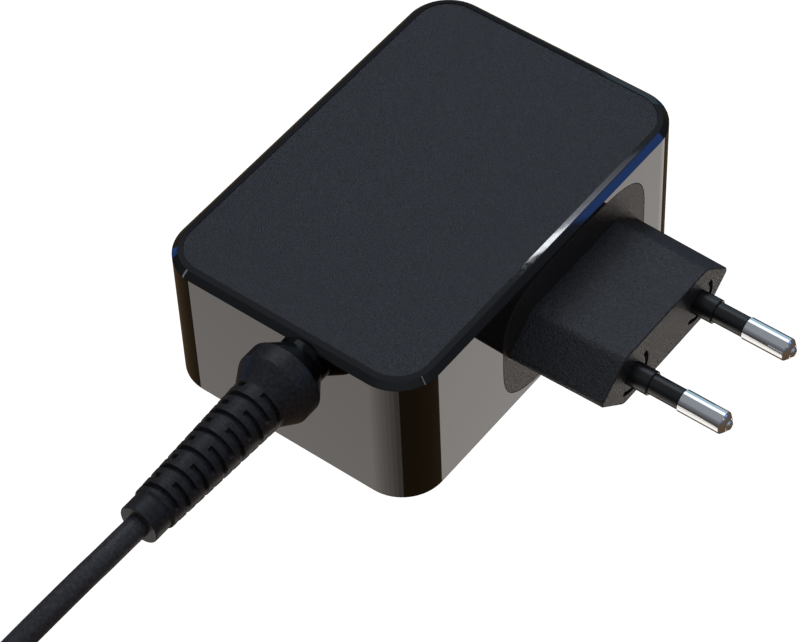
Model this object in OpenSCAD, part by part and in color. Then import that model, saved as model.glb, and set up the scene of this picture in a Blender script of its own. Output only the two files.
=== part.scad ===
// Wall-plug laptop power adapter: a glossy two-piece case with a snap-in two-pin
// plug head on its long side, a flexible strain relief on its short side, the
// circuit board inside and a DC lead put away as a coil.
// +X points out along the plug pins, -Y along the lead, +Z up.
// The origin is the centre of the case's bottom face.

/* [Case] */
// Size of the case across, along X
case_w = 51.9; // [50:0.1:60]
// Length of the case, along Y
case_l = 77.1; // [75:0.1:90]
// Height of the case with its cover
case_h = 28.7; // [28.5:0.1:31]
// Radius of the four upright corners
corner_r = 7.95; // [6:0.05:10]
// Wall thickness of case and cover
wall = 2.2; // [1.6:0.2:2.6]
// Height of the polished slanted rim around the cover
rim_h = 1.25; // [1:0.05:1.5]
// How far the slanted rim leans in at the top
rim_inset = 1; // [0.6:0.1:1.6]
// Width of the polished border around the textured field
border_w = 1; // [0.6:0.2:2]

/* [Plug head] */
// Distance the plug body stands out from the case
plug_l = 18.1; // [16:0.1:22]
// Distance between the two pins
pin_pitch = 18.6; // [17.5:0.1:19.2]
// Diameter of the bare metal of a pin
pin_d = 4; // [3.9:0.05:4.1]
// Length of a pin beyond the plug face
pin_l = 19; // [18:0.5:20]
// Place of the plug along Y, from the case's centre
plug_y = 6.3; // [5:0.1:8]
// Height of the pins above the bottom face
plug_z = 13.5; // [13.5:0.1:13.9]
// Distance the plug head pulls out to come free
plug_travel = 14; // [13:1:20]

/* [Strain relief] */
// Place of the strain relief along X
boot_x = 5.1; // [4.5:0.1:6]
// Length of the strain relief beyond the case wall
boot_l = 40.4; // [40:0.1:44]

/* [Hidden] */
$fn = 48;
eps = 0.01;

rim_z = case_h - rim_h;                 // height where the cover meets the case
half_w = case_w / 2;
half_l = case_l / 2;
cover_z = case_h - wall;                // underside of the cover's top wall
inner_r = corner_r - wall;
slip = 0.1;                             // clearance between moulded parts
seam = 0.2;                             // visible gap around the plug head

plate_a = 20;                           // half length of the oval plate
plate_b = 13;                           // half height of the oval plate
plate_t = 2;
spigot_w = 31.4;
spigot_h = 17.4;
spigot_l = 5;
pocket_wall = 1.2;
pocket_x = half_w - plate_t - spigot_l - slip;   // face of the pocket's floor
face_x = half_w + plug_l;

core_d = 3;                             // pin core inside its sleeve
sleeve_d = 3.66;
collar_d = 4.4;
collar_l = 3.9;
sleeve_l = 9.65;
stub_l = 5.5;                           // contact stub behind the spigot

board_z = 4.4;                          // underside of the circuit board
board_t = 1.6;
board_top = board_z + board_t;
board_x0 = -half_w + 3.2;
board_x1 = half_w - 9.2;
board_y = half_l - 3.9;
transformer_x = -6;
transformer_y = 3;
bobbin_tube = [6, 4];                   // half width and half length of the bobbin's tube

// The lead's places are measured from the end of the strain relief, with the height
// above the surface: this is the centreline from the strain relief to the coil
lead_d = 4;
lead_route = [
    [0, 0, 24.3], [-0.1, -3.5, 24.3], [-0.2, -7.5, 24.2], [-0.5, -11.5, 23.9],
    [-0.9, -15.5, 23.3], [-1.5, -19.5, 22.3], [-2.3, -23.5, 20.9], [-3.3, -27.5, 19.1],
    [-4.3, -31.5, 16.9], [-5.2, -35.5, 14.4], [-6.1, -39.5, 11.8], [-6.9, -43.5, 9.3],
    [-7.7, -47.5, 7], [-8.4, -51.5, 5.1], [-9, -55.5, 3.9], [-9.4, -59.5, 3.1],
    [-9.7, -63.5, 2.8], [-9.7, -67.5, 2.8]];
// Centreline of the lead's end, from the top of the coil to the DC plug
tail_route = [
    [-3.7, -67.5, 10.3], [-3.7, -71.5, 11.3], [-3.7, -75.5, 12.8], [-3.5, -79.5, 13.8],
    [-2.8, -83.5, 13.7], [-1.3, -87.5, 12.8], [1, -91.5, 11.5], [4.1, -95.1, 9.9],
    [7.9, -98.3, 8.3], [12.3, -101.1, 6.9], [16.9, -103.1, 5.8], [21.3, -104.1, 5.2],
    [25.8, -104.5, 5], [30.3, -104.5, 5]];
boot_z = lead_route[0].z;               // height of the strain relief's axis
coil_x = 20.3;
coil_y = -67.5;
coil_z = 0.8;                           // the tie's strap lies under the coil
coil_r = 18;                            // radius of the innermost turn
coil_cols = 4;
coil_layers = 2;
dc_plug_x = 30.3;                       // rear end of the DC plug body
dc_plug_y = -104.5;
dc_plug_z = 5;                          // the DC plug rests on the surface

// ---------- outlines ----------

module round_rect(w, l, r) {
    square([w - 2 * r, l], center = true);
    square([w, l - 2 * r], center = true);
    for (x = [-1, 1], y = [-1, 1]) {
        translate([x * (w / 2 - r), y * (l / 2 - r)]) circle(r);
    }
}

module slab(w, l, r, z0, z1) {
    translate([0, 0, z0]) linear_extrude(z1 - z0) round_rect(w, l, r);
}

// Slab whose whole outline leans in by inset from its bottom to its top
module leaning_slab(w, l, r, z0, z1, inset) {
    translate([0, 0, z0]) {
        for (x = [-1, 1], y = [-1, 1]) {
            translate([x * (w / 2 - r), y * (l / 2 - r), 0])
                cylinder(r1 = r, r2 = r - inset, h = z1 - z0);
        }
        rotate([90, 0, 0]) linear_extrude(l - 2 * r, center = true)
            trapezoid(w / 2, w / 2 - inset, z1 - z0);
        rotate([90, 0, 90]) linear_extrude(w - 2 * r, center = true)
            trapezoid(l / 2, l / 2 - inset, z1 - z0);
    }
}

module trapezoid(bottom, top, h) {
    polygon([[-bottom, 0], [bottom, 0], [top, h], [-top, h]]);
}

// Oval with nearly straight long sides: |u/a|^n + |v/b|^n = 1
function oval(a, b, n = 3.6) = [for (t = [0:5:355])
    [a * sign(cos(t)) * pow(abs(cos(t)), 2 / n), b * sign(sin(t)) * pow(abs(sin(t)), 2 / n)]];

function arc(c, r, a0, a1, n = 6) = [for (i = [0:n])
    c + r * [cos(a0 + (a1 - a0) * i / n), sin(a0 + (a1 - a0) * i / n)]];

// Flat hexagon with rounded corners: half width a, half flat b, half height h
plug_a = 18.85;
plug_b = 12;
plug_h = 5.9;
tip_r = 1;
bend_r = 2.4;
side_angle = atan2(plug_h, plug_a - plug_b);     // slope of the slanted sides
tip_in = tip_r / sin(side_angle);
bend_in = bend_r * tan(side_angle / 2);
function plug_quarter() = concat(
    arc([plug_a - tip_in, 0], tip_r, 0, 90 - side_angle, 4),
    arc([plug_b - bend_in, plug_h - bend_r], bend_r, 90 - side_angle, 90, 4));
function mirror_x(p) = [for (i = [len(p) - 1:-1:0]) [-p[i].x, p[i].y]];
function plug_outline() = let (upper = concat(plug_quarter(), mirror_x(plug_quarter())))
    concat(upper, [for (i = [len(upper) - 2:-1:1]) [upper[i].x, -upper[i].y]]);

// Lays an outline drawn in (Y, Z) onto a plane at x and extrudes it along +X
module along_x(x, length, shrink = 1) {
    translate([x, plug_y, plug_z]) rotate([90, 0, 90])
        linear_extrude(length, scale = shrink) children();
}

// A cylinder along +X
module rod_x(x0, x1, d, y, z) {
    translate([x0, y, z]) rotate([0, 90, 0]) cylinder(d = d, h = x1 - x0);
}

// A revolved outline of (radius, distance) points, turned to point along -Y
module turned_y(x, y, z, points) {
    translate([x, y, z]) rotate([90, 0, 0]) rotate_extrude() polygon(points);
}

// ---------- swept lead ----------

function unit(v) = v / norm(v);
function tangent(p, i) = unit(p[min(i + 1, len(p) - 1)] - p[max(i - 1, 0)]);
function ring(p, i, r, sides, side_ref) =
    let (t = tangent(p, i), u = unit(cross(t, side_ref)), v = cross(u, t))
    [for (k = [0:sides - 1]) p[i] + r * (cos(360 * k / sides) * u + sin(360 * k / sides) * v)];

// Round tube along the points p; side_ref is never parallel to the route
module swept(p, d, sides = 10, side_ref = [0, 0, 1]) {
    last = len(p) - 1;
    points = [for (i = [0:last]) each ring(p, i, d / 2, sides, side_ref)];
    walls = [for (i = [0:last - 1], k = [0:sides - 1])
        let (a = i * sides + k, b = i * sides + (k + 1) % sides) [a, a + sides, b + sides, b]];
    start = [for (k = [0:sides - 1]) k];
    end = [for (k = [sides - 1:-1:0]) last * sides + k];
    polyhedron(points, concat(walls, [start, end]), convexity = 4);
}

// ---------- case ----------

module case_shell() color("#2b2826") {
    difference() {
        union() {
            difference() {
                slab(case_w, case_l, corner_r, 0, rim_z);
                slab(case_w - 2 * wall, case_l - 2 * wall, inner_r, wall, case_h);
            }
            plug_boss();
            board_posts();
        }
        along_x(half_w - plate_t - slip, plate_t + slip + eps)
            polygon(oval(plate_a + seam, plate_b + seam));
        along_x(pocket_x, spigot_l + slip) round_rect(spigot_w + 2 * seam, spigot_h + 2 * seam, 2);
        for (side = [-1, 1]) {
            along_x(pocket_x - pocket_wall - eps, pocket_wall + 2 * eps)
                translate([side * pin_pitch / 2, 0]) square([6, 5], center = true);
        }
        strain_relief_notch();
    }
}

// Thickened wall and pocket floor that take the plug head's spigot
module plug_boss() {
    along_x(pocket_x - pocket_wall, half_w - wall - pocket_x + pocket_wall + eps)
        round_rect(spigot_w + 2 * seam + 2 * pocket_wall, spigot_h + 2 * seam + 2 * pocket_wall, 3);
    intersection() {
        along_x(half_w - plate_t - slip - pocket_wall, pocket_wall + 0.3)
            polygon(oval(plate_a + 2, plate_b + 2));
        slab(case_w - eps, case_l, corner_r, 0, rim_z - slip);
    }
}

module board_posts() {
    for (x = [-15, 6], y = [-27, 29]) {
        translate([x, y, wall - eps]) cylinder(d = 4.5, h = board_z - wall + eps);
    }
}

// U-shaped slot that the strain relief drops into before the cover closes it
module strain_relief_notch() {
    translate([boot_x, -half_l + wall + eps, boot_z]) rotate([90, 0, 0])
        linear_extrude(wall + 2 * eps) {
            circle(d = 6.2);
            translate([-3.1, 0]) square([6.2, 6]);
        }
}

field_in = rim_inset + border_w;        // textured field, measured in from the case's sides

module top_cover() color("#34383f") {
    difference() {
        union() {
            leaning_slab(case_w, case_l, corner_r, rim_z, case_h, rim_inset);
            cover_lip();
        }
        slab(case_w - 2 * wall - 2, case_l - 2 * wall - 2, inner_r - 1, rim_z - 4, cover_z);
        slab(case_w - 2 * field_in, case_l - 2 * field_in, corner_r - field_in, case_h - 0.12,
            case_h + 1);
        translate([boot_x, -half_l - eps, boot_z]) rotate([-90, 0, 0]) cylinder(d = 6.2, h = wall + 4);
        translate([boot_x - 6, -half_l + wall - eps, rim_z - 4]) cube([12, 4, cover_z - rim_z + 4]);
    }
}

// Lip that reaches down inside the case wall
module cover_lip() {
    outer_w = case_w - 2 * wall - 2 * slip;
    outer_l = case_l - 2 * wall - 2 * slip;
    difference() {
        slab(outer_w, outer_l, inner_r - slip, rim_z - 3, rim_z + eps);
        translate([half_w - 7, plug_y - plate_a - 2, rim_z - 4]) cube([8, 2 * plate_a + 4, 3.9]);
    }
}

// ---------- plug head ----------

module plug_head() color("#2c2e33") {
    difference() {
        union() {
            along_x(half_w - plate_t, plate_t) polygon(oval(plate_a, plate_b));
            along_x(half_w - plate_t - spigot_l, spigot_l + eps) round_rect(spigot_w, spigot_h, 1.8);
            along_x(half_w - eps, plug_l + eps, 0.978) polygon(plug_outline());
        }
        for (side = [-1, 1]) {
            pin_y = plug_y + side * pin_pitch / 2;
            rod_x(half_w - plate_t - spigot_l - 1, face_x + 1, core_d, pin_y, plug_z);
            rod_x(face_x - 3, face_x + 1, collar_d, pin_y, plug_z);
            along_x(face_x - 1.6, 2) translate([side * pin_pitch / 2, 0]) flex_slot();
        }
    }
}

// C-shaped slot around the lower half of a pin's root that lets the pin flex
module flex_slot() {
    polygon(concat(arc([0, 0], 4.3, -133, 32, 18), arc([0, 0], 3.35, 32, -133, 18)));
}

module pin(pin_y) color("#d8dadc") {
    translate([half_w - plate_t - spigot_l - stub_l, pin_y, plug_z]) rotate([0, 90, 0])
        cylinder(d = core_d, h = face_x + sleeve_l - half_w + plate_t + spigot_l + stub_l);
    rod_x(face_x + sleeve_l, face_x + pin_l - 1.4, pin_d, pin_y, plug_z);
    translate([face_x + pin_l - 1.4, pin_y, plug_z]) rotate([0, 90, 0]) rotate_extrude()
        polygon(concat([[0, 0], [pin_d / 2, 0], [pin_d / 2 - 0.7, 0.7]],
            arc([0, 0.35], 1.05, 20, 90, 5)));
}

module plug_pin_front() {
    pin(plug_y - pin_pitch / 2);
}

module plug_pin_rear() {
    pin(plug_y + pin_pitch / 2);
}

// Insulating sleeve with the thicker collar at its root
module pin_sleeve(pin_y) color("#222326") {
    difference() {
        union() {
            rod_x(face_x - 3, face_x + collar_l, collar_d, pin_y, plug_z);
            rod_x(face_x + collar_l - eps, face_x + sleeve_l, sleeve_d, pin_y, plug_z);
        }
        rod_x(face_x - 4, face_x + sleeve_l + 1, core_d, pin_y, plug_z);
    }
}

module pin_sleeve_front() {
    pin_sleeve(plug_y - pin_pitch / 2);
}

module pin_sleeve_rear() {
    pin_sleeve(plug_y + pin_pitch / 2);
}

// Two leaf springs that stand on the board under the pins' stubs
module contact_springs() color("#c9b27a") {
    stub_x = half_w - plate_t - spigot_l - stub_l;
    leaf_top = plug_z - core_d / 2 - 0.3;
    for (side = [-1, 1]) {
        translate([stub_x, plug_y + side * pin_pitch / 2 - 2, 0]) {
            translate([0, 0, leaf_top - 0.4]) cube([3.2, 4, 0.4]);
            translate([-1.8, 0, leaf_top - 0.4]) cube([1.8 + eps, 4, 0.4]);
            translate([-2.2, 0, board_top]) cube([0.4, 4, leaf_top - board_top]);
        }
    }
}

// ---------- strain relief ----------

boot_neck = wall + 0.2;                 // length of the neck through the case wall
boot_profile = [[0, -boot_neck - 1.6], [4.2, -boot_neck - 1.6], [4.2, -boot_neck],
    [3, -boot_neck], [3, 0], [4.5, 0], [4.5, 1.2], [6.7, 4.1], [6.9, 4.5], [6.9, 7.7],
    [6.7, 8.1], [4.9, 11.1], [3.9, boot_l - 3.8], [3.6, boot_l - 3.8], [3.6, boot_l], [0, boot_l]];
groove_count = 12;
groove_pitch = 2.1;
groove_first = 12.1;
groove_w = 1;
groove_depth = 0.9;

module strain_relief() color("#26272b") {
    difference() {
        turned_y(boot_x, -half_l, boot_z, boot_profile);
        translate([boot_x - 6, -half_l - 1.15, rim_z - slip]) cube([12, 1.15, 5]);
        translate([boot_x - 6, -half_l + wall, cover_z - slip]) cube([12, 4, 5]);
        for (i = [0:groove_count - 1]) {
            translate([boot_x, -half_l - groove_first - i * groove_pitch, boot_z])
                rotate([90, 0, 0]) groove(4.9 - 1.1 * i / groove_count, 90 * (i % 2));
        }
    }
}

// Two opposite ring segments cut into the ribbed stretch
module groove(r, turn) {
    for (side = [0, 180]) {
        rotate(turn + side - 65) rotate_extrude(angle = 130)
            translate([r - groove_depth, -groove_w / 2]) square([groove_depth + 1, groove_w]);
    }
}

// Twin leads from the strain relief down to the board
module dc_leads() color("#8d2626") {
    for (side = [-1, 1]) {
        swept([
            [boot_x + 0.8 * side, -half_l + 4, boot_z],
            [boot_x + 0.8 * side, -half_l + 5.5, boot_z],
            [boot_x + 1 * side, -half_l + 7, boot_z - 0.8],
            [boot_x + 1.6 * side, -half_l + 8.2, boot_z - 2.6],
            [boot_x + 2 * side, -half_l + 8.6, boot_z - 5],
            [boot_x + 2 * side, -half_l + 8.6, board_top]], 1.3, 8, [1, 0, 0]);
    }
}

// ---------- DC lead ----------

// Places a piece of the lead from the end of the strain relief
module at_lead(x = 0, y = 0, z = 0) {
    translate([boot_x + x, y - half_l - boot_l, z]) children();
}

module dc_cable() color("#2a2a2c") {
    at_lead() swept(lead_route, lead_d);
}

module dc_cable_coil() color("#2a2a2c") {
    outer = coil_r - lead_d / 2 + coil_cols * lead_d;
    top = coil_layers * lead_d;
    at_lead(coil_x, coil_y, coil_z) rotate_extrude($fn = 64)
        polygon([[coil_r - lead_d / 2, 0], [outer, 0], [outer, top], [outer - lead_d, top],
            [outer - lead_d, top + lead_d], [outer - 2 * lead_d, top + lead_d],
            [outer - 2 * lead_d, top], [coil_r - lead_d / 2, top]]);
}

module dc_cable_tail() color("#2a2a2c") {
    at_lead() swept(tail_route, lead_d);
}

// Strap around all the turns on the coil's far side
module cable_tie() color("#1f1f21") {
    t = coil_z;
    d = lead_d;
    at_lead(coil_x + coil_r - d / 2, coil_y + 3, t) rotate([90, 0, 0]) linear_extrude(6)
        difference() {
            polygon([[-t, -t], [4 * d + t, -t], [4 * d + t, 2 * d + t], [3 * d + t, 3 * d + t],
                [2 * d - t, 3 * d + t], [-t, 2 * d + t]]);
            polygon([[0, 0], [4 * d, 0], [4 * d, 2 * d], [3 * d, 3 * d], [2 * d, 3 * d], [0, 2 * d]]);
        }
}

// ---------- DC plug ----------

dc_body_l = 31;
dc_seat_l = 4;                          // depth of the tubes' seat in the body
dc_barrel_l = 9.5;                      // length of the barrel beyond the body
dc_barrel_d = 5.5;
dc_shank_d = 5.1;                       // the barrel is narrower inside the body
dc_inner_d = 4.7;

module dc_plug_body() color("#232427") {
    at_lead(dc_plug_x, dc_plug_y, dc_plug_z) rotate([0, 90, 0]) rotate_extrude()
        polygon([[0, 0], [2.9, 0], [3.5, 12], [5, 14.5], [5, dc_body_l - 0.5], [4.6, dc_body_l],
            [dc_shank_d / 2, dc_body_l], [dc_shank_d / 2, dc_body_l - dc_seat_l],
            [0, dc_body_l - dc_seat_l]]);
}

// One of the plug's nested tubes: (radius, distance) points measured from the seat's floor
module dc_tube(points) {
    at_lead(dc_plug_x + dc_body_l - dc_seat_l, dc_plug_y, dc_plug_z) rotate([0, 90, 0])
        rotate_extrude() polygon(points);
}

function tube_outline(length, d_out, d_in) = [[d_in / 2, 0], [d_out / 2, 0],
    [d_out / 2, length], [d_in / 2, length]];

module dc_plug_barrel() color("#cfd1d4") {
    barrel_end = dc_seat_l + dc_barrel_l;
    dc_tube([[dc_inner_d / 2, 0], [dc_shank_d / 2, 0], [dc_shank_d / 2, dc_seat_l],
        [dc_barrel_d / 2, dc_seat_l], [dc_barrel_d / 2, barrel_end], [dc_inner_d / 2, barrel_end]]);
}

module dc_plug_insulator() color("#e2c24c") {
    dc_tube(tube_outline(dc_seat_l + dc_barrel_l - 0.1, dc_inner_d, 3.3));
}

module dc_plug_contact() color("#b9bcc0") {
    dc_tube(tube_outline(dc_seat_l + dc_barrel_l - 0.3, 3.3, 2.5));
}

// ---------- circuit board ----------

module on_board(x, y) {
    translate([x, y, board_top]) children();
}

module block(w, l, h) {
    translate([-w / 2, -l / 2, 0]) cube([w, l, h]);
}

module can(d, h) {
    cylinder(d = d, h = h);
}

module main_board() color("#2f6b3c") {
    translate([(board_x0 + board_x1) / 2, 0, board_z]) linear_extrude(board_t)
        round_rect(board_x1 - board_x0, 2 * board_y, 5);
}

// Folded insulating sheet between the primary side of the board and the case
module insulation_sheet() color("#f1ead2") {
    sheet_t = 0.3;
    translate([-half_w + wall + slip, -22, wall]) {
        cube([sheet_t, 44, 22]);
        cube([12, 44, sheet_t]);
    }
}

module fuse() color("#b8b4a6") {
    on_board(10, 31) block(8, 3.6, 7.6);
}

module thermistor() color("#3f4a3a") {
    on_board(9.6, 27.4) block(7, 3.2, 8.5);
}

module varistor() color("#2f5fa8") {
    on_board(10.4, -16.5) translate([0, 1.75, 5]) rotate([90, 0, 0]) cylinder(d = 10, h = 3.5);
}

module x_capacitor() color("#d9b24a") {
    on_board(6, -7) block(6, 12, 11.4);
}

module choke_core() color("#5a5d60") {
    on_board(6.6, 8) translate([0, 0, 7]) rotate([0, 90, 0]) rotate_extrude()
        translate([4, -2.5]) square([2.2, 5]);
}

// Two equal windings on opposite sides of the ring
module choke_windings() color("#b5651d") {
    on_board(6.6, 8) translate([0, 0, 7]) rotate([0, 90, 0])
        for (side = [0, 180]) {
            rotate(side - 60) rotate_extrude(angle = 120) difference() {
                translate([3.2, -3.3]) square([3.8, 6.6]);
                translate([4, -2.5]) square([2.2, 5]);
            }
        }
}

module bridge_rectifier() color("#202022") {
    on_board(9.6, 23.6) block(10, 3.6, 10);
}

module bulk_capacitors() color("#1f2f55") {
    for (x = [-15, -2.4], y = [25.6]) {
        on_board(x, y) can(12, 19.5);
    }
}

module primary_heatsink() color("#b9bdc1") {
    on_board(-20.2, 3) block(1.6, 26, 18);
}

module switch_transistor() color("#1d1d1f") {
    on_board(-17.1, 9) block(4.6, 10, 15.5);
}

// Pair of E-shaped halves glued face to face, with an upright centre leg
module transformer_core() color("#3b3b3e") {
    on_board(transformer_x, transformer_y) difference() {
        translate([-5, -11, 3]) cube([10, 22, 15]);
        for (side = [-1, 1]) {
            translate([-6, side * 5.5 - 2.5, 6]) cube([12, 5, 9]);
        }
    }
}

// Tube around the centre leg with a flange at each end, on two feet with the pins
module transformer_bobbin() color("#1b1b1d") {
    on_board(transformer_x, transformer_y) difference() {
        union() {
            translate([-8.4, -7.8, 6]) cube([16.8, 15.6, 1]);
            translate([-8.4, -7.8, 14]) cube([16.8, 15.6, 1]);
            translate([-bobbin_tube.x, -bobbin_tube.y, 6]) cube([2 * bobbin_tube.x, 2 * bobbin_tube.y, 9]);
            for (x = [-8.4, 5.2]) {
                translate([x, -7.8, 0]) cube([3.2, 15.6, 6 + eps]);
            }
        }
        translate([-5.1, -3.1, 5]) cube([10.2, 6.2, 11]);
    }
}

module transformer_winding() color("#e3c84a") {
    on_board(transformer_x, transformer_y) translate([0, 0, 7]) linear_extrude(7) difference() {
        square([16, 15], center = true);
        square(2 * bobbin_tube, center = true);
    }
}

module y_capacitor() color("#3b6ea8") {
    on_board(-6, -10.8) block(7, 3.2, 7);
}

module controller_chip() color("#1c1c1e") {
    on_board(-17, -2) block(4, 5, 1.6);
}

module optocoupler() color("#e9e9e4") {
    on_board(-15.5, -11) block(6.4, 4.6, 3.5);
}

module output_heatsink() color("#b9bdc1") {
    on_board(-6, -16) block(18, 1.6, 17);
}

module output_rectifier() color("#1d1d1f") {
    on_board(-6, -19.1) block(10, 4.6, 15);
}

module output_capacitors() color("#2d2f33") {
    for (x = [-16, -6.5]) {
        on_board(x, -27) can(8, 14);
    }
}

module output_inductor() color("#7a7d80") {
    on_board(12, -23) can(6, 9);
}

case_shell();
top_cover();
plug_head();
plug_pin_front();
plug_pin_rear();
pin_sleeve_front();
pin_sleeve_rear();
contact_springs();
strain_relief();
dc_leads();
dc_cable();
dc_cable_coil();
dc_cable_tail();
cable_tie();
dc_plug_body();
dc_plug_barrel();
dc_plug_insulator();
dc_plug_contact();
main_board();
insulation_sheet();
fuse();
thermistor();
varistor();
x_capacitor();
choke_core();
choke_windings();
bridge_rectifier();
bulk_capacitors();
switch_transistor();
primary_heatsink();
transformer_core();
transformer_bobbin();
transformer_winding();
y_capacitor();
controller_chip();
optocoupler();
output_rectifier();
output_heatsink();
output_capacitors();
output_inductor();
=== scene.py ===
"""Looks for the wall-plug laptop power adapter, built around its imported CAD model. Metres."""
import math

import bpy
import numpy as np
from mathutils import Matrix, Vector


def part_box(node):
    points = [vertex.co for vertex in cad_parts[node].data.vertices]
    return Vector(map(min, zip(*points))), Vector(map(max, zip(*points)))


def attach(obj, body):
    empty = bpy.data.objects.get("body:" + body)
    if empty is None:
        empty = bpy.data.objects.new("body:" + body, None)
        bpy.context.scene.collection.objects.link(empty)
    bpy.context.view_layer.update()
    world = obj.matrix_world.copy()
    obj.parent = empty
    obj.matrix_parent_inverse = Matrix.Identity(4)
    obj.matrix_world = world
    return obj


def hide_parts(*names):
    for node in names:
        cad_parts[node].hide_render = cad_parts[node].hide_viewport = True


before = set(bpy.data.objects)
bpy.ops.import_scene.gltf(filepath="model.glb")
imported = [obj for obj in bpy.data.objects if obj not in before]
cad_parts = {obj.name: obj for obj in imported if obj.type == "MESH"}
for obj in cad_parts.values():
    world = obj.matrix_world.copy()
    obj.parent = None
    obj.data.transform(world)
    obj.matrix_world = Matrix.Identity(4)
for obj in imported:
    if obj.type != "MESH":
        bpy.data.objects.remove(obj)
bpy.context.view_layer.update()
MM = 0.001

# ---------- sizes from the frame ----------

case_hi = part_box("case_shell")[1]
cover_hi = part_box("top_cover")[1]
head_lo, head_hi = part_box("plug_head")
boot_lo, boot_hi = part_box("strain_relief")
grip_lo, grip_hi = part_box("dc_plug_body")
HALF_W = case_hi.x
HALF_L = case_hi.y
RIM_Z = case_hi.z
TOP_Z = cover_hi.z
CORNER_R = 7.95 * MM
WALL = 2.2 * MM
RIM_INSET = 1.0 * MM
FIELD_INSET = 2.0 * MM
PLUG_Y = (head_lo.y + head_hi.y) / 2
PLUG_Z = (head_lo.z + head_hi.z) / 2
FACE_X = head_hi.x
PLATE_A, PLATE_B, PLATE_T = 20 * MM, 13 * MM, 2 * MM
SPIGOT_W, SPIGOT_H, SPIGOT_L = 31.4 * MM, 17.4 * MM, 5 * MM
BOOT_X = (boot_lo.x + boot_hi.x) / 2
BOOT_Z = (boot_lo.z + boot_hi.z) / 2
BOOT_TIP_Y = boot_lo.y
LEAD_D = 4 * MM

# ---------- camera ----------

# The camera looks along -back from CAMERA_FAR away, shifted a little in its own frame
AZ, EL, ROLL = (math.radians(a) for a in (39.498, 49.757, -2.832))
CAMERA_FAR, CAMERA_LEFT, CAMERA_DOWN = 0.553367, 0.005053, 0.004483
LENS, SENSOR = 146.86735, 36    # mm
back = Vector((math.sin(AZ) * math.cos(EL), -math.cos(AZ) * math.cos(EL), math.sin(EL)))
right0 = (-back).cross(Vector((0, 0, 1))).normalized()
up0 = right0.cross(-back)
right = right0 * math.cos(ROLL) + up0 * math.sin(ROLL)
up = -right0 * math.sin(ROLL) + up0 * math.cos(ROLL)
camera_data = bpy.data.cameras.new("camera")
camera_data.sensor_width = SENSOR
camera_data.lens = LENS
camera_data.clip_start = 0.01
camera = bpy.data.objects.new("camera", camera_data)
bpy.context.scene.collection.objects.link(camera)
turn = Matrix((right, up, back)).transposed().to_4x4()
camera.matrix_world = Matrix.Translation(
    back * CAMERA_FAR - right * CAMERA_LEFT - up * CAMERA_DOWN) @ turn
bpy.context.scene.camera = camera
bpy.context.scene.view_settings.view_transform = "Standard"

# ---------- materials ----------


def principled(name, color, rough, metallic=0.0, specular=0.5, tint=(1, 1, 1)):
    material = bpy.data.materials.new(name)
    material.use_nodes = True
    shader = material.node_tree.nodes["Principled BSDF"]
    shader.inputs["Base Color"].default_value = (*color, 1)
    shader.inputs["Roughness"].default_value = rough
    shader.inputs["Metallic"].default_value = metallic
    shader.inputs["Specular IOR Level"].default_value = specular
    shader.inputs["Specular Tint"].default_value = (*tint, 1)
    return material


def noise(material, scale, detail=3.0):
    tree = material.node_tree
    coords = tree.nodes.new("ShaderNodeTexCoord")
    texture = tree.nodes.new("ShaderNodeTexNoise")
    texture.inputs["Scale"].default_value = scale
    texture.inputs["Detail"].default_value = detail
    tree.links.new(coords.outputs["Object"], texture.inputs["Vector"])
    return texture


def add_bump(material, scale, depth, detail=3.0):
    """Fine surface relief: features of about 1/scale metres, depth in metres."""
    tree = material.node_tree
    texture = noise(material, scale, detail)
    bump = tree.nodes.new("ShaderNodeBump")
    bump.inputs["Strength"].default_value = 1
    bump.inputs["Distance"].default_value = depth
    shader = tree.nodes["Principled BSDF"]
    tree.links.new(texture.outputs["Fac"], bump.inputs["Height"])
    tree.links.new(bump.outputs["Normal"], shader.inputs["Normal"])


MOTTLE_FROM, MOTTLE_TO = 0.3, 0.7    # the noise values that map to low and high


def add_mottle(material, socket, scale, low, high):
    """Varies one socket between two values or colours with a soft noise."""
    tree = material.node_tree
    texture = noise(material, scale)
    shader = tree.nodes["Principled BSDF"]
    if isinstance(low, tuple):
        ramp = tree.nodes.new("ShaderNodeValToRGB")
        ramp.color_ramp.elements[0].position = MOTTLE_FROM
        ramp.color_ramp.elements[1].position = MOTTLE_TO
        ramp.color_ramp.elements[0].color = (*low, 1)
        ramp.color_ramp.elements[1].color = (*high, 1)
        tree.links.new(texture.outputs["Fac"], ramp.inputs["Fac"])
        tree.links.new(ramp.outputs["Color"], shader.inputs[socket])
    else:
        span = tree.nodes.new("ShaderNodeMapRange")
        span.inputs["From Min"].default_value = MOTTLE_FROM
        span.inputs["From Max"].default_value = MOTTLE_TO
        span.inputs["To Min"].default_value = low
        span.inputs["To Max"].default_value = high
        tree.links.new(texture.outputs["Fac"], span.inputs["Value"])
        tree.links.new(span.outputs["Result"], shader.inputs[socket])


def glossy_black(name, color, tint=(1, 1, 1)):
    """Polished moulding: roughness that varies a little, and a very faint waviness."""
    material = principled(name, color, 0.03, tint=tint)
    add_mottle(material, "Roughness", scale=900, low=0.02, high=0.045)
    add_bump(material, scale=60, depth=4e-6, detail=1)
    return material


def grained(name, color, rough, scale, depth, spread=0.3, specular=0.5):
    """Grain of about 1/scale metres and depth metres, its colour up to spread off either way."""
    material = principled(name, color, rough, specular=specular)
    low = tuple(c * (1 - spread) for c in color)
    high = tuple(c * (1 + spread) for c in color)
    add_mottle(material, "Base Color", scale * 0.7, low, high)
    add_bump(material, scale, depth, detail=2)
    return material


def metal(name, color, rough, metallic=1.0):
    material = principled(name, color, rough, metallic=metallic)
    add_mottle(material, "Roughness", 1500, rough * 0.7, rough * 1.4)
    add_bump(material, scale=900, depth=1.5e-6, detail=2)
    return material


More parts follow.
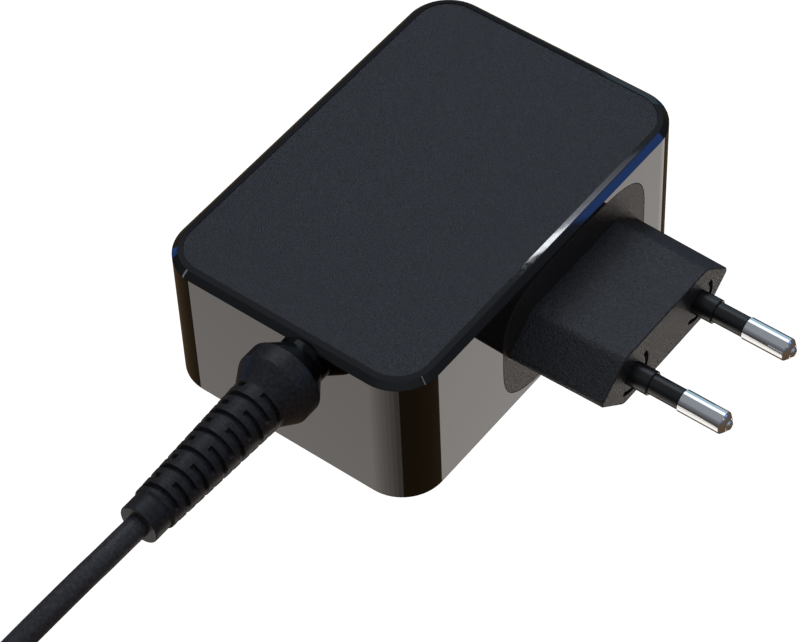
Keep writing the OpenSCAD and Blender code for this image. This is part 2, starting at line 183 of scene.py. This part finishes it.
case_gloss = glossy_black("case gloss", (0.006, 0.004, 0.003), tint=(1, 0.94, 0.88))
cover_gloss = glossy_black("cover gloss", (0.008, 0.009, 0.011))
cover_grain = grained("cover grain", (0.01, 0.0127, 0.022), rough=0.42, scale=3600, depth=1.6e-4,
                      spread=0.95, specular=0.66)
plug_grain = grained("plug grain", (0.016, 0.0178, 0.024), rough=0.43, scale=3200, depth=2e-4,
                     spread=0.95, specular=0.84)
plate_grain = grained("plate grain", (0.015, 0.013, 0.012), rough=0.42, scale=3200, depth=1.7e-4,
                      spread=0.95, specular=0.95)
sleeve_satin = grained("sleeve satin", (0.01, 0.01, 0.011), rough=0.3, scale=2500, depth=5e-6)
boot_rubber = grained("boot rubber", (0.027, 0.028, 0.032), rough=0.38, scale=2600, depth=4e-5,
                      spread=0.5, specular=0.32)
# Darker, less shiny copy of the boot rubber for the neck and the collar's back: painted shade. Its
# low roughness is the real smooth finish
boot_shaded_polish = grained("boot shaded polish", (0.005, 0.005, 0.006), rough=0.14, scale=2600, depth=4e-6,
                      spread=0.4, specular=0.15)
lead_rubber = grained("lead rubber", (0.052, 0.053, 0.06), rough=0.42, scale=2600, depth=3e-5,
                      spread=0.5)
nickel = metal("nickel", (0.8, 0.81, 0.82), rough=0.06, metallic=0.92)

# CAD nodes that are shown as they are: name, colour, roughness, scale, depth and spread
NODE_LOOKS = {
    "cable_tie": grained("tie", (0.014, 0.014, 0.014), 0.45, 1800, 8e-6),
    "dc_plug_barrel": nickel,
    "dc_plug_insulator": grained("insulator", (0.7, 0.5, 0.1), 0.4, 2000, 5e-6, 0.06),
    "dc_plug_contact": nickel,
    "contact_springs": metal("phosphor bronze", (0.75, 0.52, 0.25), 0.22),
    "dc_leads": grained("wire", (0.36, 0.03, 0.03), 0.4, 1500, 6e-6),
    "main_board": grained("board", (0.03, 0.16, 0.06), 0.35, 1200, 1e-5, 0.25),
    "insulation_sheet": grained("sheet", (0.75, 0.7, 0.56), 0.5, 900, 5e-6, 0.05),
    "fuse": grained("fuse ceramic", (0.48, 0.45, 0.38), 0.6, 1500, 1e-5),
    "thermistor": grained("thermistor", (0.06, 0.08, 0.06), 0.5, 1800, 1.2e-5),
    "varistor": grained("varistor epoxy", (0.03, 0.1, 0.35), 0.35, 1200, 1e-5),
    "x_capacitor": grained("film box", (0.7, 0.45, 0.08), 0.35, 900, 5e-6, 0.06),
    "choke_core": grained("ferrite", (0.05, 0.05, 0.055), 0.6, 2500, 1.5e-5),
    "choke_windings": metal("enamelled copper", (0.6, 0.22, 0.08), 0.25),
    "bridge_rectifier": grained("bridge epoxy", (0.02, 0.02, 0.022), 0.5, 2500, 1e-5),
    "bulk_capacitors": grained("can sleeve blue", (0.03, 0.06, 0.2), 0.25, 700, 3e-6),
    "switch_transistor": grained("package epoxy", (0.022, 0.022, 0.024), 0.5, 2500, 1e-5),
    "primary_heatsink": metal("sheet aluminium", (0.65, 0.66, 0.68), 0.35),
    "transformer_core": grained("core ferrite", (0.045, 0.045, 0.05), 0.6, 2500, 1.5e-5),
    "transformer_bobbin": grained("phenolic", (0.03, 0.03, 0.03), 0.45, 1800, 8e-6),
    "transformer_winding": grained("winding tape", (0.75, 0.6, 0.1), 0.35, 600, 1e-5, 0.1),
    "y_capacitor": grained("y epoxy", (0.03, 0.12, 0.38), 0.35, 1200, 1e-5),
    "controller_chip": grained("chip epoxy", (0.02, 0.02, 0.022), 0.5, 2500, 8e-6),
    "optocoupler": grained("white epoxy", (0.72, 0.72, 0.69), 0.45, 1800, 6e-6, 0.05),
    "output_rectifier": grained("rectifier epoxy", (0.02, 0.02, 0.023), 0.5, 2500, 1e-5),
    "output_heatsink": metal("heatsink aluminium", (0.66, 0.67, 0.69), 0.32),
    "output_capacitors": grained("can sleeve dark", (0.04, 0.045, 0.055), 0.25, 700, 3e-6),
    "output_inductor": grained("inductor ferrite", (0.06, 0.06, 0.065), 0.55, 2200, 1.2e-5),
}
for node, look in NODE_LOOKS.items():
    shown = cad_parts[node]
    shown.data.materials.clear()
    shown.data.materials.append(look)

# ---------- mesh building ----------


def make_object(name, vertices, faces, *materials):
    mesh = bpy.data.meshes.new(name)
    mesh.from_pydata([tuple(v) for v in vertices], [], faces)
    mesh.validate()
    piece = bpy.data.objects.new(name, mesh)
    bpy.context.scene.collection.objects.link(piece)
    for material in materials:
        mesh.materials.append(material)
    return piece


def loft(name, rings, *materials):
    """Closed solid through rings of equally many points, with flat ends."""
    count = len(rings[0])
    faces = [tuple(range(count))[::-1]]
    for i in range(len(rings) - 1):
        for k in range(count):
            a, b = i * count + k, i * count + (k + 1) % count
            faces.append((a, b, b + count, a + count))
    faces.append(tuple((len(rings) - 1) * count + k for k in range(count)))
    return make_object(name, [p for ring in rings for p in ring], faces, *materials)


def evaluated(piece):
    graph = bpy.context.evaluated_depsgraph_get()
    mesh = bpy.data.meshes.new_from_object(piece.evaluated_get(graph))
    piece.modifiers.clear()
    piece.data = mesh
    return piece


def combine(piece, tool, operation="DIFFERENCE"):
    modifier = piece.modifiers.new("cut", "BOOLEAN")
    modifier.operation = operation
    modifier.solver = "EXACT"
    modifier.object = tool
    evaluated(piece)
    bpy.data.objects.remove(tool)
    return piece


CRISP, CRISP_RUBBER, CRISP_PIN = 28, 35, 40    # degrees


def smooth(piece, angle=CRISP):
    """Soft shading across small steps, crisp edges beyond the angle."""
    mesh = piece.data
    mesh.polygons.foreach_set("use_smooth", [True] * len(mesh.polygons))
    mesh.set_sharp_from_angle(angle=math.radians(angle))
    modifier = piece.modifiers.new("flat faces stay flat", "WEIGHTED_NORMAL")
    modifier.keep_sharp = True
    modifier.weight = 100
    return evaluated(piece)


def join(name, pieces):
    """Puts several solids into one object, keeping their materials."""
    target = pieces[0]
    target.name = name
    with bpy.context.temp_override(active_object=target, selected_editable_objects=pieces):
        bpy.ops.object.join()
    return target


def arc(cx, cy, r, a0, a1, steps):
    for i in range(steps + 1):
        a = math.radians(a0 + (a1 - a0) * i / steps)
        yield (cx + r * math.cos(a), cy + r * math.sin(a))


def rounded_rect(half_x, half_y, r, steps=16):
    points = []
    for sx, sy, start in ((1, 1, 0), (-1, 1, 90), (-1, -1, 180), (1, -1, 270)):
        points += arc(sx * (half_x - r), sy * (half_y - r), r, start, start + 90, steps)
    return points


def case_ring(inset, z, steps=16):
    outline = rounded_rect(HALF_W - inset, HALF_L - inset, CORNER_R - inset, steps)
    return [(x, y, z) for x, y in outline]


def across(x, outline):
    """Lays an outline of (Y, Z) points around the plug's axis onto the plane at x."""
    return [(x, PLUG_Y + u, PLUG_Z + v) for u, v in outline]


def prism_x(name, x0, x1, outline, *materials):
    return loft(name, [across(x0, outline), across(x1, outline)], *materials)


def revolve(name, profile, place, axis, *materials, steps=48):
    """Turned solid from (radius, distance) points; axis is "x" for +X or "y" for -Y."""
    rings = []
    for radius, distance in profile:
        ring = []
        for k in range(steps):
            a = 2 * math.pi * k / steps
            u, v = radius * math.cos(a), radius * math.sin(a)
            ring.append((place[0] + distance, place[1] + u, place[2] + v) if axis == "x"
                        else (place[0] + u, place[1] - distance, place[2] + v))
        rings.append(ring)
    return loft(name, rings, *materials)


# ---------- case ----------

BOTTOM_ROUND = 0.15 * MM
SEAM = 0.12 * MM
ROUND_STEPS = 5
rings = []
for step in range(ROUND_STEPS + 1):
    a = math.radians(90 * step / ROUND_STEPS)
    rings.append(case_ring(BOTTOM_ROUND * (1 - math.sin(a)), BOTTOM_ROUND * (1 - math.cos(a))))
rings.append(case_ring(0, RIM_Z - SEAM))
rings.append(case_ring(SEAM, RIM_Z))
case = loft("case_moulding", rings, case_gloss)
combine(case, loft("cavity", [case_ring(WALL, WALL), case_ring(WALL, RIM_Z + MM)]))

# The plug head's pocket: a boss inside the wall, a seat for the plate, a hole for the spigot
GAP, SLIP = 0.06 * MM, 0.1 * MM
POCKET_WALL, POCKET_R, BOSS_R = 1.2 * MM, 2 * MM, 3 * MM
BOSS_INTO_WALL = 0.3 * MM
POCKET_X = HALF_W - PLATE_T - SPIGOT_L - SLIP
POCKET_STEPS = 6


def oval(half_y, half_z, power=3.6, steps=96):
    points = []
    for k in range(steps):
        a = 2 * math.pi * k / steps
        c, s = math.cos(a), math.sin(a)
        points.append((half_y * math.copysign(abs(c) ** (2 / power), c),
                       half_z * math.copysign(abs(s) ** (2 / power), s)))
    return points


boss_y = SPIGOT_W / 2 + GAP + POCKET_WALL
boss_z = SPIGOT_H / 2 + GAP + POCKET_WALL
combine(case, prism_x("boss", POCKET_X - POCKET_WALL, HALF_W - WALL + BOSS_INTO_WALL,
                      rounded_rect(boss_y, boss_z, BOSS_R, POCKET_STEPS)), "UNION")
combine(case, prism_x("seat", HALF_W - PLATE_T - SLIP, HALF_W + MM,
                      oval(PLATE_A + GAP, PLATE_B + GAP)))
combine(case, prism_x("pocket", POCKET_X, HALF_W,
                      rounded_rect(SPIGOT_W / 2 + GAP, SPIGOT_H / 2 + GAP, POCKET_R, POCKET_STEPS)))

# Openings in the pocket's floor for the pins' stubs
STUB_A, STUB_B = 3 * MM, 2.5 * MM
for pin in ("plug_pin_front", "plug_pin_rear"):
    pin_lo, pin_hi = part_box(pin)
    slot_y = (pin_lo.y + pin_hi.y) / 2 - PLUG_Y
    outline = [(slot_y + u * STUB_A, v * STUB_B) for u, v in ((1, 1), (-1, 1), (-1, -1), (1, -1))]
    combine(case, prism_x("slot", POCKET_X - 2 * POCKET_WALL, POCKET_X + MM, outline))

# Notch for the strain relief's neck, open to the rim
NOTCH_R, NOTCH_UP = 3.1 * MM, 6 * MM
notch = list(arc(0, 0, NOTCH_R, 180, 360, 24)) + [(NOTCH_R, NOTCH_UP), (-NOTCH_R, NOTCH_UP)]
combine(case, loft("notch", [[(BOOT_X + u, -HALF_L + WALL + MM, BOOT_Z + v) for u, v in notch],
                             [(BOOT_X + u, -HALF_L - MM, BOOT_Z + v) for u, v in notch]]))
smooth(case)
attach(case, "adapter")
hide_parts("case_shell")

# ---------- cover ----------

# The rim slants in to an eased edge, the polished border rises from it, the field lies lower
BORDER_RISE, FIELD_DROP, FIELD_STEP = 0.16 * MM, 0.12 * MM, 0.02 * MM
EDGE_EASE = ((-0.06 * MM, -0.06 * MM), (0, -0.015 * MM), (0.08 * MM, 0.01 * MM))
rings = [case_ring(SEAM, RIM_Z), case_ring(0, RIM_Z + SEAM)]
for inward, upward in EDGE_EASE:
    rings.append(case_ring(RIM_INSET + inward, TOP_Z - BORDER_RISE + upward))
rings.append(case_ring(FIELD_INSET - FIELD_STEP, TOP_Z))
rings.append(case_ring(FIELD_INSET + FIELD_STEP, TOP_Z - FIELD_DROP))
cover = loft("cover_moulding", rings, cover_gloss, cover_grain)
cover.data.polygons[-1].material_index = 1
smooth(cover)
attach(cover, "adapter")
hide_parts("top_cover")

# ---------- plug head ----------

PLUG_A, PLUG_B, PLUG_H = 18.85 * MM, 12 * MM, 5.9 * MM
TIP_R, BEND_R = 1 * MM, 2.4 * MM
DRAFT = 0.978
side_angle = math.atan2(PLUG_H, PLUG_A - PLUG_B)
side_deg = math.degrees(side_angle)
tip_in = TIP_R / math.sin(side_angle)
bend_in = BEND_R * math.tan(side_angle / 2)


def plug_outline(shrink=0.0, draft=1.0):
    quarter = list(arc(PLUG_A - tip_in, 0, TIP_R - shrink, 0, 90 - side_deg, 10))
    quarter += arc(PLUG_B - bend_in, PLUG_H - BEND_R, BEND_R - shrink, 90 - side_deg, 90, 8)
    upper = quarter + [(-u, v) for u, v in reversed(quarter)]
    whole = upper + [(u, -v) for u, v in reversed(upper[1:-1])]
    return [(u * draft, v * draft) for u, v in whole]


EDGE_R, ROOT = 0.3 * MM, 0.5 * MM
rings = [across(HALF_W - ROOT, plug_outline()), across(FACE_X - EDGE_R, plug_outline(0, DRAFT))]
for step in range(1, ROUND_STEPS + 1):
    a = math.radians(90 * step / ROUND_STEPS)
    rings.append(across(FACE_X - EDGE_R * (1 - math.sin(a)),
                        plug_outline(EDGE_R * (1 - math.cos(a)), DRAFT)))
body = loft("plug_body", rings, plug_grain)

# Curved slot around each pin
SLOT_OUT, SLOT_IN, SLOT_DEPTH = 4.3 * MM, 3.35 * MM, 1.6 * MM
SLOT_FROM, SLOT_TO, SLOT_STEPS = -133, 32, 30
for pin in ("plug_pin_front", "plug_pin_rear"):
    pin_lo, pin_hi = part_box(pin)
    slot_y = (pin_lo.y + pin_hi.y) / 2 - PLUG_Y
    outline = list(arc(slot_y, 0, SLOT_OUT, SLOT_FROM, SLOT_TO, SLOT_STEPS))
    outline += arc(slot_y, 0, SLOT_IN, SLOT_TO, SLOT_FROM, SLOT_STEPS)
    combine(body, prism_x("flex", FACE_X - SLOT_DEPTH, FACE_X + MM, outline))
smooth(body)

PLATE_EDGE, PLATE_STEPS = 0.1 * MM, 4
rings = [across(HALF_W - PLATE_T, oval(PLATE_A, PLATE_B)),
         across(HALF_W - PLATE_EDGE, oval(PLATE_A, PLATE_B))]
for step in range(1, PLATE_STEPS + 1):
    a = math.radians(90 * step / PLATE_STEPS)
    inset = PLATE_EDGE * (1 - math.cos(a))
    rings.append(across(HALF_W - PLATE_EDGE * (1 - math.sin(a)),
                        oval(PLATE_A - inset, PLATE_B - inset)))
plate = smooth(loft("plate", rings, plate_grain))

SPIGOT_R, SPIGOT_INTO_PLATE = 1.8 * MM, 0.2 * MM
spigot = smooth(prism_x("spigot", HALF_W - PLATE_T - SPIGOT_L, HALF_W - PLATE_T + SPIGOT_INTO_PLATE,
                        rounded_rect(SPIGOT_W / 2, SPIGOT_H / 2, SPIGOT_R, POCKET_STEPS),
                        plug_grain))
head = join("plug_moulding", [body, plate, spigot])
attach(head, "plug_head")
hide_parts("plug_head")

# ---------- pins ----------

# A pin is a thin core in its sleeve, then bare metal with a chamfer and a small dome at its end
PIN_R, CORE_R, PIN_EASE = 2 * MM, 1.5 * MM, 0.1 * MM
TIP_L, CHAMFER_IN, CHAMFER_L = 1.4 * MM, 0.7 * MM, 0.65 * MM
DOME_R, DOME_BACK = 1.05 * MM, 0.35 * MM
DOME_FROM, DOME_TO, DOME_STEPS = 22, 82, 8
SLEEVE_R, SLEEVE_EASE = 1.83 * MM, 0.15 * MM
COLLAR_R, COLLAR_L = 2.2 * MM, 3.9 * MM
for name in ("front", "rear"):
    pin_lo, pin_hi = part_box("plug_pin_" + name)
    pin_y = (pin_lo.y + pin_hi.y) / 2
    sleeve_start, sleeve_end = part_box("pin_sleeve_" + name)
    length = pin_hi.x - pin_lo.x
    bare = sleeve_end.x - pin_lo.x
    shoulder = length - TIP_L
    profile = [(CORE_R, 0), (CORE_R, bare), (PIN_R - PIN_EASE, bare), (PIN_R, bare + PIN_EASE),
               (PIN_R, shoulder - PIN_EASE), (PIN_R - PIN_EASE / 2, shoulder),
               (PIN_R - CHAMFER_IN, shoulder + CHAMFER_L)]
    profile += arc(0, shoulder + DOME_BACK, DOME_R, DOME_FROM, DOME_TO, DOME_STEPS)
    pin = smooth(revolve("pin_" + name, profile, (pin_lo.x, pin_y, PLUG_Z), "x", nickel), CRISP_PIN)
    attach(pin, "plug_head")
    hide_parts("plug_pin_" + name)

    start = sleeve_start.x
    collar_end = FACE_X + COLLAR_L - start
    total = sleeve_end.x - start
    outer = [(COLLAR_R, 0), (COLLAR_R, collar_end - SLEEVE_EASE),
             (COLLAR_R - SLEEVE_EASE, collar_end), (SLEEVE_R, collar_end),
             (SLEEVE_R, total - SLEEVE_EASE), (SLEEVE_R - SLEEVE_EASE, total)]
    sleeve = revolve("sleeve_" + name, outer, (start, pin_y, PLUG_Z), "x", sleeve_satin)
    combine(sleeve, revolve("core", [(CORE_R, -MM), (CORE_R, total + MM)],
                            (start, pin_y, PLUG_Z), "x"))
    smooth(sleeve)
    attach(sleeve, "plug_head")
    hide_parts("pin_sleeve_" + name)

# ---------- strain relief ----------

# Profile in mm: distance s out of the case wall and radius. From the inside: the flange behind
# the wall, the neck in its notch, the flared collar, the grooved cone and the plain tip.
BOOT_END = (-HALF_L - BOOT_TIP_Y) / MM
TIP_RADIUS, TIP_STRETCH, TIP_STEP = 3.6, 3.7, 0.1
BOOT_STATIONS = [(-4.0, 4.2), (-2.4, 4.2), (-2.35, 3.0), (0, 3.0), (0.05, 4.5), (1.2, 4.5),
                 (4.1, 6.65), (4.5, 6.9), (7.7, 6.9), (8.1, 6.7), (11.1, 4.9),
                 (BOOT_END - TIP_STRETCH - TIP_STEP, 3.9), (BOOT_END - TIP_STRETCH, TIP_RADIUS),
                 (BOOT_END, TIP_RADIUS)]
GROOVES, GROOVE_PITCH, GROOVE_FIRST = 12, 2.1, 12.1
GROOVE_W, GROOVE_DEPTH, GROOVE_HALF_ANGLE = 0.8, 0.7, 65
CONE_FROM, CONE_DROP = 4.9, 1.1    # radius at the first groove, and its loss up to the last one
stations_s = [s for s, r in BOOT_STATIONS]
stations_r = [r for s, r in BOOT_STATIONS]
CORNER_EASE = 0.12


def boot_radius(s):
    """Profile radius in mm at s mm from the case wall, with its corners eased."""
    ease = CORNER_EASE if s > 1 else 0
    return sum(float(np.interp(s + d * ease, stations_s, stations_r)) for d in (-1, 0, 1)) / 3


def groove_floor(s, angle):
    """Radius of the groove's floor at this place, or None outside the grooves."""
    i = round((s - GROOVE_FIRST) / GROOVE_PITCH)
    if not 0 <= i < GROOVES or abs(s - GROOVE_FIRST - i * GROOVE_PITCH) > GROOVE_W / 2:
        return None
    off = (angle - 90 * (i % 2)) % 180
    if min(off, 180 - off) > GROOVE_HALF_ANGLE:
        return None
    return CONE_FROM - CONE_DROP * i / GROOVES - GROOVE_DEPTH


BOOT_STEPS = 72


def boot_ring(s, radius_at):
    """Ring of the boot at s mm, with radius_at giving the radius in mm at an angle in degrees."""
    ring = []
    for k in range(BOOT_STEPS):
        a = 2 * math.pi * k / BOOT_STEPS
        r = radius_at(math.degrees(a)) * MM
        ring.append((BOOT_X + r * math.cos(a), -HALF_L - s * MM, BOOT_Z + r * math.sin(a)))
    return ring


# Even samples on the plain stretches, and a few at each groove's walls and floor
FLANGE_START, CONE_START, COLLAR_STEP = -4, 11.15, 0.15
TIP_START = GROOVE_FIRST + GROOVES * GROOVE_PITCH - 1.2
TIP_SAMPLES_END, TIP_SAMPLE_STEP, TIP_ROUND = BOOT_END - 0.3, 0.1, 0.25
samples = list(np.arange(FLANGE_START, CONE_START - 0.05, COLLAR_STEP)) + [CONE_START]
samples += list(np.arange(TIP_START, TIP_SAMPLES_END, TIP_SAMPLE_STEP))
for i in range(GROOVES):
    centre = GROOVE_FIRST + i * GROOVE_PITCH
    floor_edge = 0.49 * GROOVE_W
    samples += [centre + d for d in (-0.55, -0.5, -floor_edge, 0, floor_edge, 0.5, 0.55)]
rings = []
for s in sorted(s for s in samples if s < BOOT_END - TIP_ROUND):
    rings.append(boot_ring(s, lambda angle: groove_floor(s, angle) or boot_radius(s)))
for back_off, shrink in ((TIP_ROUND, 0), (0.1, 0.07), (0, TIP_ROUND)):
    rings.append(boot_ring(BOOT_END - back_off, lambda angle: TIP_RADIUS - shrink))
boot = loft("strain_relief_boot", rings, boot_rubber, boot_shaded_polish)

# The neck and the collar's back are smooth, and they get a darker, less shiny copy of the rubber:
# painted shade for the dark they lie in beside the case
SHADED_POLISH_TO = 4.2 * MM
for face in boot.data.polygons:
    face.material_index = int(face.center.y > -HALF_L - SHADED_POLISH_TO)
smooth(boot, CRISP_RUBBER)
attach(boot, "adapter")
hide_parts("strain_relief")

# ---------- DC plug ----------

GRIP_L = grip_hi.x - grip_lo.x
grip_y, grip_z = (grip_lo.y + grip_hi.y) / 2, (grip_lo.z + grip_hi.z) / 2
# Radius and distance in mm: a thin neck on the lead, then the grip with its finger grooves
GRIP_R, FINGER_GROOVES, FINGER_FIRST, FINGER_PITCH, FINGER_DEPTH = 5, 4, 18, 2.4, 0.35
profile = [(2.2, 0), (2.7, 0.15), (2.9, 0.6), (3.45, 11.6), (3.9, 12.9), (4.7, 14.2), (GRIP_R, 15)]
for i in range(FINGER_GROOVES):
    s = FINGER_FIRST + FINGER_PITCH * i
    floor_r = GRIP_R - FINGER_DEPTH
    profile += [(GRIP_R, s - 0.5), (floor_r, s - 0.3), (floor_r, s + 0.3), (GRIP_R, s + 0.5)]
profile += [(GRIP_R, 30.3), (4.85, 30.8), (4.6, 31)]
grip = revolve("dc_plug_grip", [(r * MM, s * MM) for r, s in profile],
               (grip_lo.x, grip_y, grip_z), "x", lead_rubber)
BARREL_SEAT_R, BARREL_SEAT_L = 2.55 * MM, 4 * MM
combine(grip, revolve("seat", [(BARREL_SEAT_R, GRIP_L - BARREL_SEAT_L), (BARREL_SEAT_R, GRIP_L + MM)],
                      (grip_lo.x, grip_y, grip_z), "x"))
smooth(grip, CRISP_RUBBER)
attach(grip, "adapter")
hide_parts("dc_plug_body")

# ---------- lead ----------

# Centreline in mm from the strain relief's end, with heights above the surface: out to the coil,
# and from the coil's top to the DC plug
LEAD_ROUTE = [
    (0, 0, 24.3), (-0.1, -3.5, 24.3), (-0.2, -7.5, 24.2), (-0.5, -11.5, 23.9),
    (-0.9, -15.5, 23.3), (-1.5, -19.5, 22.3), (-2.3, -23.5, 20.9), (-3.3, -27.5, 19.1),
    (-4.3, -31.5, 16.9), (-5.2, -35.5, 14.4), (-6.1, -39.5, 11.8), (-6.9, -43.5, 9.3),
    (-7.7, -47.5, 7), (-8.4, -51.5, 5.1), (-9, -55.5, 3.9), (-9.4, -59.5, 3.1),
    (-9.7, -63.5, 2.8)]
TAIL_ROUTE = [
    (-3.7, -71.5, 11.3), (-3.7, -75.5, 12.8),
    (-3.5, -79.5, 13.8), (-2.8, -83.5, 13.7), (-1.3, -87.5, 12.8), (1, -91.5, 11.5),
    (4.1, -95.1, 9.9), (7.9, -98.3, 8.3), (12.3, -101.1, 6.9), (16.9, -103.1, 5.8),
    (21.3, -104.1, 5.2), (25.8, -104.5, 5), (30.3, -104.5, 5)]
COIL_X, COIL_Y = 20.3, -67.5
# Radius and height at the start of each turn: in along the lower layer, out along the
# upper one, and one last turn on top
COIL_TURNS = [(30, 2.8), (26, 2.8), (22, 2.8), (18, 2.8), (18, 6.8), (22, 6.8),
              (26, 6.8), (30, 6.8), (28, 10.3), (24, 10.3)]
TURN_POINTS = 24


def coil_route():
    points = []
    for (r0, z0), (r1, z1) in zip(COIL_TURNS, COIL_TURNS[1:]):
        for k in range(TURN_POINTS):
            t = k / TURN_POINTS
            a = math.pi + 2 * math.pi * t
            r = r0 + (r1 - r0) * t
            points.append((COIL_X + r * math.cos(a), COIL_Y + r * math.sin(a),
                           z0 + (z1 - z0) * t))
    r, z = COIL_TURNS[-1]
    points.append((COIL_X - r, COIL_Y, z))
    return points


LEAD_INTO_BOOT = 0.5 * MM
route = [Vector((BOOT_X + x * MM, BOOT_TIP_Y + y * MM, z * MM))
         for x, y, z in LEAD_ROUTE + coil_route() + TAIL_ROUTE]
route[0].y += LEAD_INTO_BOOT
curve = bpy.data.curves.new("lead", "CURVE")
curve.dimensions = "3D"
curve.bevel_depth = LEAD_D / 2
curve.bevel_resolution = 6
curve.use_fill_caps = True
spline = curve.splines.new("POLY")
spline.points.add(len(route) - 1)
for point, place in zip(spline.points, route):
    point.co = (*place, 1)
spline.use_smooth = True
curve.materials.append(lead_rubber)
lead = bpy.data.objects.new("lead", curve)
bpy.context.scene.collection.objects.link(lead)
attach(lead, "adapter")
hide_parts("dc_cable", "dc_cable_coil", "dc_cable_tail")

# ---------- studio ----------


def glowing(name, color, strength):
    material = bpy.data.materials.new(name)
    material.use_nodes = True
    tree = material.node_tree
    tree.nodes.clear()
    emission = tree.nodes.new("ShaderNodeEmission")
    emission.inputs["Color"].default_value = (*color, 1)
    emission.inputs["Strength"].default_value = strength
    output = tree.nodes.new("ShaderNodeOutputMaterial")
    tree.links.new(emission.outputs["Emission"], output.inputs["Surface"])
    return material


def toward(azimuth, elevation):
    """Direction at degrees of azimuth, counted from -Y towards +X, and elevation."""
    a, e = math.radians(azimuth), math.radians(elevation)
    return Vector((math.sin(a) * math.cos(e), -math.cos(a) * math.cos(e), math.sin(e)))


PANEL_FAR = 3.0


def panel(name, azimuths, elevations, color, strength):
    """Softbox that fills this range of directions; it lights the object and shows in its gloss."""
    corners = [toward(a, e) * PANEL_FAR for a, e in (
        (azimuths[0], elevations[0]), (azimuths[1], elevations[0]),
        (azimuths[1], elevations[1]), (azimuths[0], elevations[1]))]
    box = make_object(name, corners, [(0, 1, 2, 3)], glowing(name, color, strength))
    box.visible_camera = False
    return box


# Pale floor that only the camera sees: the object's gloss shows the reflectors in its place
FLOOR, FLOOR_Z, FLOOR_GLOW = 4.0, -0.05 * MM, 1.1
floor = make_object("floor", [(-FLOOR, -FLOOR, FLOOR_Z), (FLOOR, -FLOOR, FLOOR_Z),
                              (FLOOR, FLOOR, FLOOR_Z), (-FLOOR, FLOOR, FLOOR_Z)],
                    [(0, 1, 2, 3)], glowing("floor", (1, 1, 1), FLOOR_GLOW))
floor.visible_diffuse = floor.visible_glossy = floor.visible_shadow = False

# The room: brown below the horizon, cool grey above it. A stop's place is half of 1 + sin(elevation).
world = bpy.data.worlds.new("studio")
bpy.context.scene.world = world
world.use_nodes = True
tree = world.node_tree
coords = tree.nodes.new("ShaderNodeTexCoord")
split = tree.nodes.new("ShaderNodeSeparateXYZ")
ramp = tree.nodes.new("ShaderNodeValToRGB")
height = tree.nodes.new("ShaderNodeMapRange")
height.inputs["From Min"].default_value = -1
tree.links.new(coords.outputs["Generated"], split.inputs[0])
tree.links.new(split.outputs["Z"], height.inputs["Value"])
tree.links.new(height.outputs["Result"], ramp.inputs["Fac"])
tree.links.new(ramp.outputs["Color"], tree.nodes["Background"].inputs["Color"])
ROOM = [(0, (0.1, 0.065, 0.035)), (0.45, (0.12, 0.08, 0.045)), (0.56, (0.08, 0.085, 0.095)),
        (0.75, (0.16, 0.17, 0.19)), (0.86, (0.29, 0.31, 0.34)), (1, (0.29, 0.31, 0.34))]
while len(ramp.color_ramp.elements) < len(ROOM):
    ramp.color_ramp.elements.new(0.5)
for stop, (position, color) in zip(ramp.color_ramp.elements, ROOM):
    stop.position = position
    stop.color = (*color, 1)

WARM = (1, 0.96, 0.925)
COOL = (0.92, 0.96, 1)
BLUE = (0.12, 0.3, 1)
KEY_WIDTH = (186, 200)
REFLECTOR_HEIGHT = (-64, -36)
panel("left reflector", (-49, -30), REFLECTOR_HEIGHT, WARM, 1.3)
# It fades out towards the front, in steps that show as soft stripes in the case's corner
FADE = (1.25, 1.15, 1.02, 0.88, 0.7, 0.5)
FADE_FROM, FADE_STEP = -30, 11
for i, strength in enumerate(FADE):
    start = FADE_FROM + i * FADE_STEP
    panel("left reflector fade %d" % i, (start, start + FADE_STEP), REFLECTOR_HEIGHT, WARM, strength)
panel("left reflector top", (-36, -18), (-36, -12), WARM, 1.0)
panel("right reflector", (139, 166), REFLECTOR_HEIGHT, WARM, 1.5)
panel("overhead softbox", (200, 236), (34, 60), (0.87, 0.94, 1.06), 1.68)
panel("low softbox", (192, 206), (0, 34), (0.6, 0.85, 1), 0.75)
panel("dusk card", (185, 225), (-27, 0), (0.4, 0.6, 1), 0.12)
# The key light is a thin bar; below it the cover's border catches a glow that dims downwards
KEY_LOW, KEY_HIGH = 56.35, 57.0
GLOW = (5.2, 3.6, 2.7, 2.1, 1.7, 1.35)
GLOW_STEP = 0.35
panel("key light", KEY_WIDTH, (KEY_LOW, KEY_HIGH), COOL, 22)
for i, strength in enumerate(GLOW):
    high = KEY_LOW - i * GLOW_STEP
    panel("glow %d" % i, KEY_WIDTH, (high - GLOW_STEP, high), (0.88, 0.93, 1.06), strength)
panel("blue wall", (126.9, 137), (18, 30), BLUE, 2.2)
panel("blue wall left", (264, 277), (-8, 4), BLUE, 1.2)
panel("strip light left", (312, 315), (14, 32), COOL, 3)
panel("strip light front", (91, 92.5), (25, 45), COOL, 3.5)
